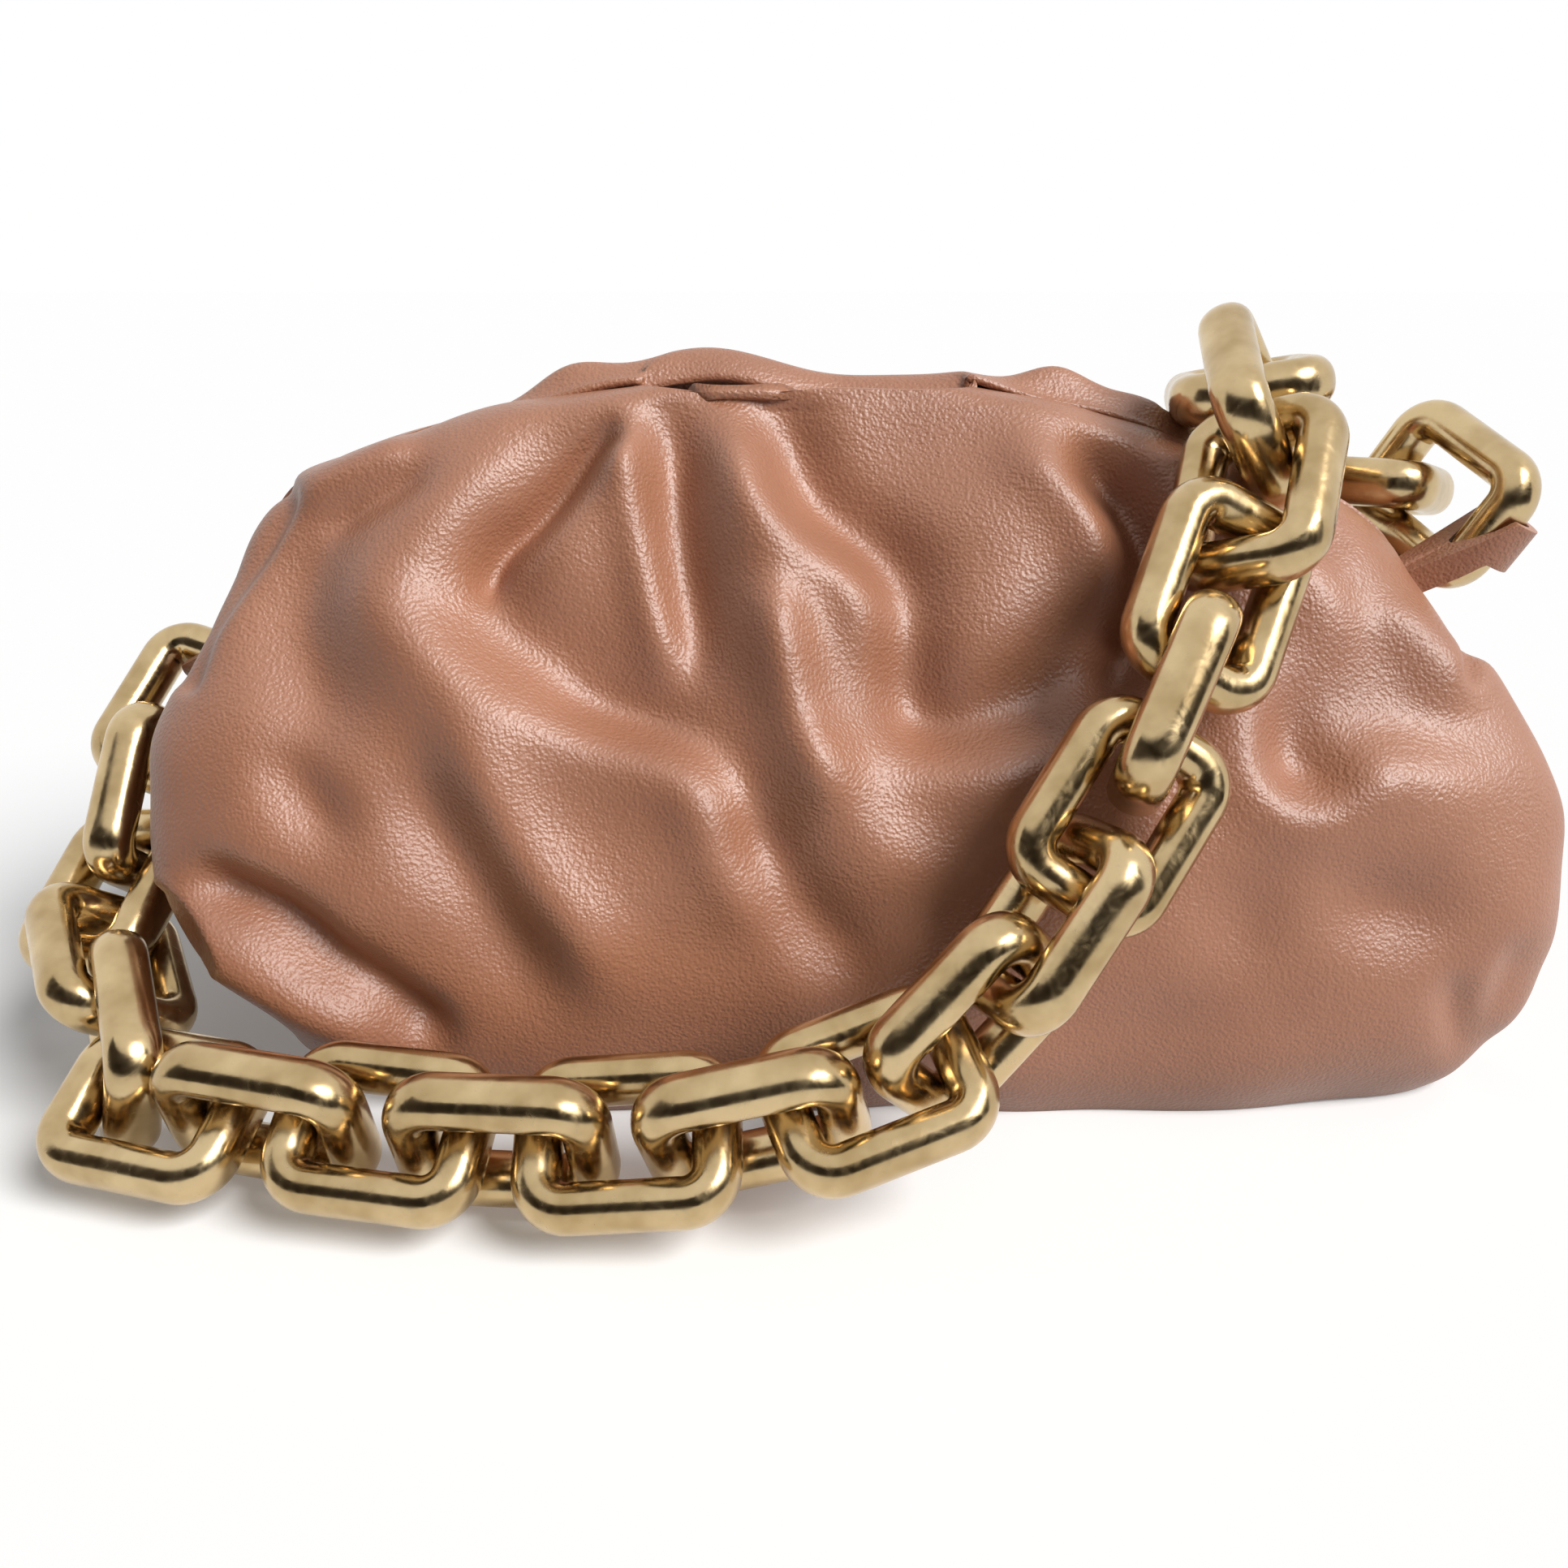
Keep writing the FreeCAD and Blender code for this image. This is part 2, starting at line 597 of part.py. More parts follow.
def settle(links, homes):
    # The links drop clear of each other, the pouch and the ground, staying near their places.
    line = bar_line()
    near = size("link_length") + size("link_bar_thickness")
    margin = size("link_bar_thickness") / 2 + size("link_rest_gap")
    for turn_number in range(SETTLE_ROUNDS):
        hold = HOLD_SHARE * max(0, 1 - turn_number / HOLD_ROUNDS)
        for index, (middle, turned) in enumerate(links):
            home_middle, home_turned = homes[index]
            links[index] = (middle + (home_middle - middle) * hold, turned.slerp(home_turned, hold))
        rings = [[turned.multVec(spot) + middle for spot in line] for middle, turned in links]
        worst = 0
        for first in range(len(links)):
            for second in range(first + 1, len(links)):
                if (links[first][0] - links[second][0]).Length > near:
                    continue
                gap, one, other, way = ring_gap(rings[first], rings[second], links[first], links[second])
                short = size("link_gap") - gap
                if short > 0:
                    worst = max(worst, short)
                    links[first] = move_link(links[first], one, way * (-short / 2))
                    links[second] = move_link(links[second], other, way * (short / 2))
        for index, ring in enumerate(rings):
            pushes = [(push_from_pouch(spot, margin), spot) for spot in ring[::2]]
            pushes += [(Vector(0, 0, margin - spot.z), spot) for spot in ring if spot.z < margin]
            pushes = [(push, spot) for push, spot in pushes if push]
            if pushes:
                push, spot = max(pushes, key=lambda pair: pair[0].Length)
                worst = max(worst, push.Length)
                links[index] = move_link(links[index], spot, push * PUSH_SHARE)
        if hold == 0 and worst < SETTLED_SHARE * size("link_gap"):
            break
    return links


def ring_gap(ring, other_ring, link, other_link):
    # The narrowest place between two links: the gap, a point on each bar and the way across.
    facing = link[1].multVec(Vector(0, 0, 1))
    other_facing = other_link[1].multVec(Vector(0, 0, 1))
    best = None
    for one in ring:
        other = min(other_ring, key=one.distanceToPoint)
        way = other - one
        length = way.Length
        if best and length > best[0] + 2 * size("link_bar_thickness"):
            continue
        way.normalize()
        gap = length - bar_radius(facing, way) - bar_radius(other_facing, way)
        if best is None or gap < best[0]:
            best = (gap, one, other, way)
    return best


right_links = link_places(RIGHT_ROUTE_SHARES, RIGHT_FACINGS)
main_links = link_places(MAIN_ROUTE_SHARES, MAIN_FACINGS)
# Numbered from the right-hand tab, so the main run is counted back from the left-hand tab.
homes = right_links + main_links[::-1]
links = settle(list(homes), homes)
for number, (middle, turned) in enumerate(links, start=1):
    item = solid_feature(f"link_{number:02d}", link_form.Shape.copy())
    item.Placement = Placement(middle, turned)
    node(item, f"chain_link_{number:02d}")


def strap_piece(start, end, thick):
    # A flat length of strap from one point to another, with its thin side along thick.
    length = (end - start).Length
    run = (end - start).normalize()
    thin = (thick - run * thick.dot(run)).normalize()
    depth = 2 * size("tab_thickness")
    width = size("tab_width")
    piece = Part.makeBox(length, width, depth, Vector(0, -width / 2, -depth / 2))
    piece.Placement = Placement(start, Rotation(run, thin.cross(run), thin, "XYZ"))
    return piece


def frame_end_room(hinge):
    # The room that the frame's end and the head of its pin take up at one side.
    reach = abs(hinge.x) + size("pin_head_thickness") + size("frame_seat_gap")
    half = mouth_half_depth()
    low = hinge.z - size("eye_radius") - size("frame_seat_gap")
    across = (0, reach) if hinge.x > 0 else (-reach, 0)
    return block(across, (-half, half), (low, top))


def chain_tab(label, link, toward):
    # A leather strap folded round the first bar of the chain, its tail led to the frame's end.
    middle, turned = link
    along = turned.multVec(Vector(1, 0, 0))
    across = turned.multVec(Vector(0, 1, 0))
    centre = middle - along * bar_reach
    rest = toward - centre
    rest = (rest - across * rest.dot(across)).normalize()
    tail = (rest * TAIL_SHARE - along).normalize()
    bore = size("link_bar_thickness") / 2 + size("tab_bar_gap")
    rim = bore + size("tab_thickness")
    width = size("tab_width")
    start = centre - across * (width / 2)
    ring = Part.makeCylinder(rim, width, start, across)
    hole = Part.makeCylinder(bore, width, start, across)
    elbow = centre + tail * (rim + size("tab_thickness"))
    neck = strap_piece(centre, elbow + tail * size("tab_thickness"), across.cross(tail))
    lead = strap_piece(elbow, toward, tail)
    strap = ring.fuse([neck, lead]).cut(hole)
    pieces = strap.cut(outer).cut(frame_end_room(toward)).Solids
    return node(solid_feature(f"{label}_solid", max(pieces, key=lambda piece: piece.Volume)), label)


hinge_right = Vector(size("frame_span") / 2, 0, size("frame_hinge_height"))
hinge_left = Vector(-size("frame_span") / 2, 0, size("frame_hinge_height"))
chain_tab("right_chain_tab", links[0], hinge_right)
chain_tab("left_chain_tab", links[-1], hinge_left)

doc.recompute()
for item in doc.Objects:
    if "Invalid" in item.State or "Error" in item.State:
        raise RuntimeError(f"{item.Label} did not compute: {item.State}")
for item in nodes:
    if item.Shape.isNull() or not item.Shape.isValid():
        raise RuntimeError(f"{item.Label} has no valid shape")
    item.Shape.exportStep(os.path.join("parts", f"{item.Label}.step"))
print(f"{len(nodes)} nodes written")
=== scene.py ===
import bpy
import math
import numpy as np
from mathutils import Matrix, Vector
from mathutils.kdtree import KDTree


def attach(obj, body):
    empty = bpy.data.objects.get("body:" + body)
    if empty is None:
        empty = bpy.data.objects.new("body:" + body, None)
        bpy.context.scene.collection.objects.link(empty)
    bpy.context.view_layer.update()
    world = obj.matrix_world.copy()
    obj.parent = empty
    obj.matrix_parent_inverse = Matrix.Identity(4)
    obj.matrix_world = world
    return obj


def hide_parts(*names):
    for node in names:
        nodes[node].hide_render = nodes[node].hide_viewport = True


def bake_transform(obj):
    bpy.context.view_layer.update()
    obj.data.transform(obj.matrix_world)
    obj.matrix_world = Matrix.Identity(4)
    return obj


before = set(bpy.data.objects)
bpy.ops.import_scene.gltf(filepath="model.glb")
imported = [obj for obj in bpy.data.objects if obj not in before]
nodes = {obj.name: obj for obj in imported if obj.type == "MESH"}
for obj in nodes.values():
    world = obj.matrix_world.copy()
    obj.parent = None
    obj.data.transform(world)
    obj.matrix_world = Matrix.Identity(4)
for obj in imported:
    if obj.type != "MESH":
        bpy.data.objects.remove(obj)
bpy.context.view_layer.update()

# The photograph's camera: its frame and focal length in pixels, its place in metres, its pitch.
PHOTO_PIXELS = 1932
FOCAL_PIXELS = 1900
SENSOR_WIDTH = 36.0
CAMERA_PLACE = Vector((-0.011, -0.326, 0.174))
CAMERA_PITCH = math.radians(20)
CAMERA_NEAR = 0.01

# The pouch, in metres, as the frame has it.
BAG_WIDTH = 0.318
BAG_DEPTH = 0.110
BAG_HEIGHT = 0.144
SIDE_TUCK = 0.038

# Pouch outline, level by level: height, half width to the left and to the right, half depth and
# the share of the side tuck.
LEVEL_SHARES = (
    (0.00, 0.345, 0.445, 0.425, 0.30),
    (0.03, 0.365, 0.468, 0.455, 0.45),
    (0.07, 0.390, 0.482, 0.475, 0.70),
    (0.14, 0.430, 0.495, 0.495, 0.95),
    (0.22, 0.465, 0.500, 0.500, 1.00),
    (0.32, 0.478, 0.500, 0.495, 1.00),
    (0.42, 0.476, 0.494, 0.465, 1.00),
    (0.52, 0.468, 0.476, 0.415, 1.00),
    (0.61, 0.440, 0.446, 0.350, 0.80),
    (0.66, 0.424, 0.420, 0.310, 0.48),
    (0.71, 0.410, 0.400, 0.270, 0.20),
    (0.78, 0.390, 0.370, 0.215, 0.00),
    (0.86, 0.360, 0.305, 0.150, 0.00),
    (0.92, 0.285, 0.225, 0.110, 0.00),
    (0.97, 0.210, 0.150, 0.085, 0.00),
    (1.00, 0.126, 0.085, 0.070, 0.00),
)
LEVEL_STEPS = 800
LEVEL_EASE_STEPS = 20
OUTLINE_STEPS = 800
SIDE_POWER = 8.0
FACE_POWER = 2.3
# Side tucks: the middle at the base, its climb with the height, and the reach, in half depths.
LEFT_TUCK_SHARES = (-0.45, 1.2, 0.48)
RIGHT_TUCK_SHARES = (0.0, 0.0, 0.36)

# Leather panels: their grids, their thickness, and the base panel.
FRONT_ROWS = 230
FRONT_COLUMNS = 380
REAR_ROWS = 150
REAR_COLUMNS = 240
LEATHER_THICKNESS = 0.0016
BASE_RISE = 0.0006
BASE_ROWS = 40
BASE_SPREAD_SHARE = 0.6
SHORTEST_NORMAL = 1e-12

# The gathered top: its lip rolls in to the middle plane, and the front edge dips in the middle.
LIP_ROWS = 8
LIP_GAP = 0.0003
LIP_FADE_ROWS = 20
FRONT_LIP_DROP = 0.0015
REAR_LIP_DROP = 0.005
LOWERED_FROM_SHARE = 0.86
FRONT_DROP = 0.0015
FRONT_DROP_REACH = 0.075
LOBES_FROM_SHARE = 0.78
LOBE_SETBACK = 0.007

# The metal frame in the mouth, an arc that the leather stays outside of: the height of its centre, its
# radius, and the room that it takes up.
FRAME_CENTRE = -0.04645
FRAME_RADIUS = 0.18245
FRAME_ROOM = 0.0065
FRAME_EASE = 0.002
FRAME_FADE_ROWS = 5
FRAME_HALF_RUN = 0.105
FRAME_HALF_DEPTH = 0.0069

# Room between the folds and the links. Links from the first left one on swing near the leather.
CHAIN_ROOM = 0.0016
SWING_ROOM = 0.010
FIRST_LEFT_LINK = 19

# Links: the bar's width and the form of its round.
BAR_WIDTH = 0.009
BAR_POWER = 0.94
BAR_STEPS = 40
LINK_CORNER_RADIUS = 0.006
LINK_CORNER_STEPS = 13
LINK_SIDE_STEPS = 12

# Straps of the chain tabs.
STRAP_BORE = 0.0057
STRAP_RIM = 0.0078
STRAP_TAIL = 0.0024
STRAP_WIDTH = 0.0100
STRAP_ROUNDING = 0.0005
STRAP_ROUNDING_STEPS = 2
STRAP_RIM_STEPS = 40
STRAP_TAIL_STEPS = 9

# Lining: how far it lies inside the leather, how thick it is, the share of the bag's height that it
# reaches, and the step between the rows and columns that it takes from the leather.
LINING_INSET = 0.0030
LINING_THICKNESS = 0.0006
LINING_TOP_SHARE = 0.60
LINING_STRIDE = 3

# Floor, card and light.
FLOOR_REACH = 4.0
FLOOR_GAP = 0.0002
FLOOR_GLOW = 0.14
BACKDROP_STRENGTH = 1.0
FILL_STRENGTH = 0.17
SUN_STRENGTH = 3.7
SUN_SPREAD = math.radians(30)
SUN_FROM = Vector((0.80, -0.68, 0.92))
CARD_RADIUS = 0.75
CARD_HEIGHT = 0.62
CARD_SPAN = math.radians(150)
CARD_STEPS = 24

# Colours, in linear red, green and blue.
LEATHER_COLOUR = (0.385, 0.160, 0.084)
LEATHER_DEEP_COLOUR = (0.32, 0.126, 0.063)
GOLD_COLOUR = (0.64, 0.485, 0.27)
GOLD_DEEP_COLOUR = (0.44, 0.31, 0.15)
GOLD_WORN_COLOUR = (0.40, 0.36, 0.30)
LINING_COLOUR = (0.34, 0.19, 0.125)
LINING_DEEP_COLOUR = (0.26, 0.14, 0.09)
FLOOR_COLOUR = (0.90, 0.90, 0.90)
FLOOR_BOUNCE_COLOUR = (0.25, 0.24, 0.23)
CARD_COLOUR = (0.05, 0.035, 0.025)
WHITE = (1, 1, 1)

# Folds of the front, drawn as strokes over the photograph: height in metres (below zero for a
# valley), half width in pixels, and the stroke's points in the photograph's pixels.
FRONT_FOLDS = {
    "left_deep_crease": (-0.006, 22, (
        (760, 530), (722, 565), (690, 605), (655, 640), (620, 662), (600, 690), (596, 725),
    )),
    "left_deep_hollow": (-0.005, 60, ((700, 570), (640, 650), (600, 730))),
    "bulge_edge": (0.006, 55, ((790, 540), (760, 590), (720, 640), (670, 690), (640, 740))),
    "left_shoulder": (0.005, 60, ((660, 560), (600, 600), (540, 650), (500, 700))),
    "left_valley": (-0.005, 60, ((400, 650), (366, 710), (352, 770), (370, 835), (405, 895))),
    "left_edge_groove": (-0.003, 12, ((362, 600), (330, 648), (292, 710), (255, 780), (228, 850))),
    "upper_left_ridge": (0.003, 24, ((374, 612), (440, 583), (502, 556))),
    "upper_left_valley": (-0.003, 28, ((395, 640), (460, 610), (520, 580))),
    "left_ridge": (0.006, 65, ((448, 705), (480, 770), (523, 805), (589, 859), (668, 896))),
    "middle_hollow": (-0.007, 75, ((600, 760), (677, 830), (760, 860), (830, 880))),
    "middle_crease": (-0.003, 40, (
        (677, 850), (804, 891), (874, 920), (912, 966), (937, 1024), (945, 1057),
    )),
    "middle_ridge": (0.004, 55, ((650, 862), (698, 890), (750, 912), (850, 950), (895, 1010))),
    "thin_ridge": (0.004, 34, ((767, 536), (787, 631), (806, 737), (830, 823))),
    "thin_valley": (-0.005, 40, (
        (810, 517), (825, 545), (832, 600), (834, 660), (843, 720), (853, 780), (852, 830),
    )),
    "centre_swell": (0.005, 60, ((890, 540), (895, 620), (930, 700), (960, 780), (970, 860))),
    "centre_crease": (-0.007, 48, (
        (959, 512), (966, 560), (988, 622), (1031, 655), (1078, 676),
        (1107, 717), (1110, 775), (1117, 847), (1140, 900),
    )),
    "centre_ridge": (0.007, 50, (
        (916, 545), (928, 607), (973, 668), (1040, 705), (1078, 740), (1080, 800),
    )),
    "centre_band": (0.005, 42, ((955, 740), (965, 820), (985, 905), (1030, 975))),
    "right_swell": (0.006, 110, ((1190, 600), (1240, 660), (1270, 720))),
    "right_swell_edge": (0.005, 45, ((1250, 560), (1320, 610), (1360, 680), (1355, 750))),
    "right_deep_crease": (-0.01, 40, (
        (1335, 560), (1390, 610), (1422, 670), (1424, 740), (1405, 800), (1375, 850),
    )),
    "right_soft_valley": (-0.006, 60, (
        (1130, 900), (1181, 893), (1268, 868), (1340, 800), (1375, 740),
    )),
    "right_soft_ridge": (0.004, 60, ((1110, 940), (1165, 962), (1230, 960), (1290, 930))),
    "lower_crease": (-0.004, 45, ((937, 1024), (950, 1067), (982, 1119), (1015, 1149), (1057, 1207))),
    "lower_ridge": (0.003, 50, ((860, 990), (890, 1060), (940, 1130))),
    "lower_middle_ridge": (0.004, 60, ((982, 933), (1020, 974), (1070, 1030), (1130, 1080))),
    "left_dent": (-0.004, 40, ((335, 935), (395, 1012), (412, 1029))),
    "diagonal_ridge": (0.005, 55, ((560, 893), (600, 991), (650, 1089), (700, 1141), (745, 1195))),
    "diagonal_valley": (-0.005, 55, ((510, 950), (545, 1021), (595, 1100), (640, 1165), (677, 1215))),
    "low_left_crease": (-0.008, 32, (
        (245, 1081), (275, 1104), (322, 1119), (369, 1153),
        (403, 1188), (455, 1218), (497, 1252), (540, 1282),
    )),
    "low_left_roll": (0.006, 45, ((194, 1115), (258, 1163), (322, 1216), (408, 1240), (472, 1269))),
    "low_left_under": (-0.014, 44, ((180, 1205), (250, 1246), (330, 1292))),
    "chain_side_ridge": (0.0035, 46, (
        (1548, 850), (1540, 900), (1544, 951), (1568, 992), (1620, 1012), (1660, 990), (1703, 950),
    )),
    "chain_side_valley": (-0.005, 46, (
        (1590, 860), (1580, 910), (1586, 950), (1614, 964), (1655, 955),
    )),
    "right_upper_valley": (-0.003, 60, ((1622, 850), (1687, 882), (1784, 914), (1840, 932))),
    "right_upper_ridge": (0.003, 60, ((1670, 930), (1730, 945), (1840, 968))),
    "right_edge_groove": (-0.003, 14, ((1745, 665), (1775, 725), (1812, 800), (1812, 840))),
    "right_fold_valley": (-0.004, 34, ((1612, 655), (1668, 716), (1705, 748))),
    "right_fold_ridge": (0.004, 34, ((1640, 680), (1707, 748), (1763, 802), (1802, 852))),
    "right_inner_ridge": (0.003, 46, ((1565, 640), (1620, 730), (1660, 790))),
    "right_low_dent": (-0.005, 60, ((1663, 1112), (1720, 1130), (1790, 1120))),
    "right_low_hollow": (-0.004, 60, ((1526, 1100), (1542, 1190))),
    "low_right_crease": (-0.0025, 28, ((1796, 1215), (1804, 1265), (1812, 1310))),
    "corner_pinch": (-0.002, 24, ((1884, 1172), (1864, 1233), (1846, 1273), (1842, 1313))),
}
# Folds of the rear, in the same pixels, as if seen through the bag.
REAR_FOLDS = {
    "pleat_far_left": (-0.0025, 36, ((560, 600), (530, 680), (540, 760))),
    "pleat_left": (-0.003, 40, ((700, 550), (680, 660), (710, 770), (690, 840))),
    "ridge_left": (0.002, 44, ((770, 560), (760, 680), (790, 800))),
    "pleat_middle": (-0.003, 42, ((850, 545), (865, 660), (840, 760))),
    "ridge_middle": (0.002, 46, ((940, 555), (950, 680), (930, 820))),
    "pleat_right": (-0.003, 40, ((1040, 550), (1020, 650), (1060, 770), (1040, 860))),
    "ridge_right": (0.002, 44, ((1120, 570), (1110, 690), (1140, 800))),
    "pleat_far_right": (-0.0025, 36, ((1220, 580), (1240, 690), (1210, 790))),
    "low_sag": (0.002, 70, ((560, 940), (800, 990), (1060, 970), (1300, 930))),
    "low_dent": (-0.0025, 60, ((640, 860), (760, 890), (860, 880))),
    "low_right_dent": (-0.0025, 60, ((1100, 880), (1220, 860), (1320, 800))),
}
# A stroke is a row of soft spots, so many to a half width, each faded out at so many half widths.
SPOTS_PER_HALF_WIDTH = 2
SPOT_HALF_WIDTHS = 3

# Rolls of the gathered rear edge: their middle along the mouth, their reach and their lift, in metres.
REAR_LOBES = {
    "left_roll": (-0.055, 0.011, 0.0060),
    "middle_roll": (-0.026, 0.016, 0.0050),
    "right_roll": (0.047, 0.009, 0.0070),
    "chain_roll": (0.068, 0.012, 0.0070),
}

# Small uneven swellings: the draw's seed, their height, and the shortest and longest wave, in metres.
FRONT_RIPPLES = (5, 0.0004, 0.02, 0.06)
REAR_RIPPLES = (9, 0.0008, 0.02, 0.07)
RIPPLE_WAVES = 26


def material(name):
    made = bpy.data.materials.new(name)
    made.use_nodes = True
    tree = made.node_tree
    return made, tree, tree.nodes["Principled BSDF"]


def add(tree, kind, **values):
    node = tree.nodes.new(kind)
    for name, value in values.items():
        if hasattr(node, name) and name not in node.inputs:
            setattr(node, name, value)
        else:
            node.inputs[name].default_value = value
    return node


def opaque(colour):
    return (*colour, 1)


def grey(value):
    return (value, value, value)


def ramp(tree, source, stops):
    node = add(tree, "ShaderNodeValToRGB")
    tree.links.new(source, node.inputs["Fac"])
    for element, (place, colour) in zip(node.color_ramp.elements, stops):
        element.position = place
        element.color = opaque(colour)
    return node


def leather_material():
    made, tree, shader = material("tan_leather")
    link = tree.links.new
    place = add(tree, "ShaderNodeTexCoord").outputs["Object"]
    cloud = add(tree, "ShaderNodeTexNoise", Scale=28.0, Detail=4.0, Roughness=0.6)
    link(place, cloud.inputs["Vector"])
    mottled = ramp(tree, cloud.outputs["Fac"], ((0.30, LEATHER_DEEP_COLOUR), (0.62, LEATHER_COLOUR)))
    link(mottled.outputs["Color"], shader.inputs["Base Color"])
    cells = add(tree, "ShaderNodeTexVoronoi", Scale=1500.0, feature="SMOOTH_F1")
    fine = add(tree, "ShaderNodeTexNoise", Scale=2200.0, Detail=3.0)
    wander = add(tree, "ShaderNodeTexNoise", Scale=300.0, Detail=3.0)
    for texture in (cells, fine, wander):
        link(place, texture.inputs["Vector"])
    grain = add(tree, "ShaderNodeBump", Strength=0.50, Distance=0.0004)
    link(cells.outputs["Distance"], grain.inputs["Height"])
    pores = add(tree, "ShaderNodeBump", Strength=0.30, Distance=0.0003)
    link(fine.outputs["Fac"], pores.inputs["Height"])
    link(grain.outputs["Normal"], pores.inputs["Normal"])
    soft = add(tree, "ShaderNodeBump", Strength=0.08, Distance=0.0008)
    link(wander.outputs["Fac"], soft.inputs["Height"])
    link(pores.outputs["Normal"], soft.inputs["Normal"])
    link(soft.outputs["Normal"], shader.inputs["Normal"])
    gloss = ramp(tree, cloud.outputs["Fac"], ((0.3, grey(0.52)), (0.7, grey(0.43))))
    link(gloss.outputs["Color"], shader.inputs["Roughness"])
    shader.inputs["Specular IOR Level"].default_value = 0.85
    shader.inputs["Coat Weight"].default_value = 0.30
    shader.inputs["Coat Roughness"].default_value = 0.36
    link(soft.outputs["Normal"], shader.inputs["Coat Normal"])
    return made


def gold_material():
    made, tree, shader = material("chain_gold")
    link = tree.links.new
    place = add(tree, "ShaderNodeTexCoord").outputs["Object"]
    patch = add(tree, "ShaderNodeTexNoise", Scale=90.0, Detail=3.0)
    speck = add(tree, "ShaderNodeTexNoise", Scale=1900.0, Detail=2.0)
    scratch = add(tree, "ShaderNodeTexNoise", Scale=260.0, Detail=6.0, Distortion=1.5)
    for texture in (patch, speck, scratch):
        link(place, texture.inputs["Vector"])
    tone = ramp(tree, patch.outputs["Fac"], ((0.30, GOLD_DEEP_COLOUR), (0.60, GOLD_COLOUR)))
    worn = ramp(tree, speck.outputs["Fac"], ((0.60, grey(0.0)), (0.72, grey(1.0))))
    area = ramp(tree, scratch.outputs["Fac"], ((0.50, grey(0.0)), (0.70, grey(0.55))))
    both = add(tree, "ShaderNodeMath", operation="MULTIPLY")
    link(worn.outputs["Color"], both.inputs[0])
    link(area.outputs["Color"], both.inputs[1])
    blend = add(tree, "ShaderNodeMix", data_type="RGBA")
    link(both.outputs["Value"], blend.inputs["Factor"])
    link(tone.outputs["Color"], blend.inputs["A"])
    blend.inputs["B"].default_value = opaque(GOLD_WORN_COLOUR)
    link(blend.outputs["Result"], shader.inputs["Base Color"])
    rough = ramp(tree, scratch.outputs["Fac"], ((0.35, grey(0.16)), (0.75, grey(0.30))))
    link(rough.outputs["Color"], shader.inputs["Roughness"])
    shader.inputs["Metallic"].default_value = 1.0
    nicks = add(tree, "ShaderNodeBump", Strength=0.08, Distance=0.0003)
    link(scratch.outputs["Fac"], nicks.inputs["Height"])
    link(nicks.outputs["Normal"], shader.inputs["Normal"])
    return made


def steel_material():
    made, tree, shader = material("frame_steel")
    link = tree.links.new
    place = add(tree, "ShaderNodeTexCoord").outputs["Object"]
    stretch = add(tree, "ShaderNodeMapping", Scale=(60.0, 900.0, 900.0))
    link(place, stretch.inputs["Vector"])
    lines = add(tree, "ShaderNodeTexNoise", Scale=1.0, Detail=4.0)
    link(stretch.outputs["Vector"], lines.inputs["Vector"])
    tone = ramp(tree, lines.outputs["Fac"], ((0.35, grey(0.45)), (0.65, grey(0.62))))
    link(tone.outputs["Color"], shader.inputs["Base Color"])
    rough = ramp(tree, lines.outputs["Fac"], ((0.35, grey(0.30)), (0.65, grey(0.42))))
    link(rough.outputs["Color"], shader.inputs["Roughness"])
    shader.inputs["Metallic"].default_value = 1.0
    return made


def lining_material():
    made, tree, shader = material("lining_cloth")
    link = tree.links.new
    place = add(tree, "ShaderNodeTexCoord").outputs["Object"]
    weave = add(tree, "ShaderNodeTexWave", Scale=700.0, Distortion=0.4)
    cloud = add(tree, "ShaderNodeTexNoise", Scale=40.0, Detail=4.0)
    link(place, weave.inputs["Vector"])
    link(place, cloud.inputs["Vector"])
    tone = ramp(tree, cloud.outputs["Fac"], ((0.3, LINING_DEEP_COLOUR), (0.7, LINING_COLOUR)))
    link(tone.outputs["Color"], shader.inputs["Base Color"])
    bump = add(tree, "ShaderNodeBump", Strength=0.2, Distance=0.0002)
    link(weave.outputs["Fac"], bump.inputs["Height"])
    link(bump.outputs["Normal"], shader.inputs["Normal"])
    shader.inputs["Roughness"].default_value = 0.75
    return made


def backdrop_mix(tree, lit, seen, surface):
    # One shader lights the bag, and the other is what the camera, mirrors and glass see.
    rays = add(tree, "ShaderNodeLightPath")
    total = rays.outputs["Is Camera Ray"]
    for name in ("Is Glossy Ray", "Is Transmission Ray"):
        either = add(tree, "ShaderNodeMath", operation="MAXIMUM")
        tree.links.new(total, either.inputs[0])
        tree.links.new(rays.outputs[name], either.inputs[1])
        total = either.outputs["Value"]
    mixed = add(tree, "ShaderNodeMixShader")
    tree.links.new(total, mixed.inputs["Fac"])
    tree.links.new(lit, mixed.inputs[1])
    tree.links.new(seen, mixed.inputs[2])
    tree.links.new(mixed.outputs["Shader"], surface)


def paper_material():
    # White paper that throws little light back on the bag.
    made, tree, shader = material("floor_paper")
    tree.nodes.remove(shader)
    dim = add(tree, "ShaderNodeBsdfDiffuse", Color=opaque(FLOOR_BOUNCE_COLOUR))
    white = add(tree, "ShaderNodeBsdfDiffuse", Color=opaque(FLOOR_COLOUR))
    glow = add(tree, "ShaderNodeEmission", Strength=FLOOR_GLOW)
    bright = add(tree, "ShaderNodeAddShader")
    tree.links.new(white.outputs["BSDF"], bright.inputs[0])
    tree.links.new(glow.outputs["Emission"], bright.inputs[1])
    surface = tree.nodes["Material Output"].inputs["Surface"]
    backdrop_mix(tree, dim.outputs["BSDF"], bright.outputs["Shader"], surface)
    return made


def card_material():
    made, _, shader = material("dark_card")
    shader.inputs["Base Color"].default_value = opaque(CARD_COLOUR)
    shader.inputs["Roughness"].default_value = 0.9
    return made


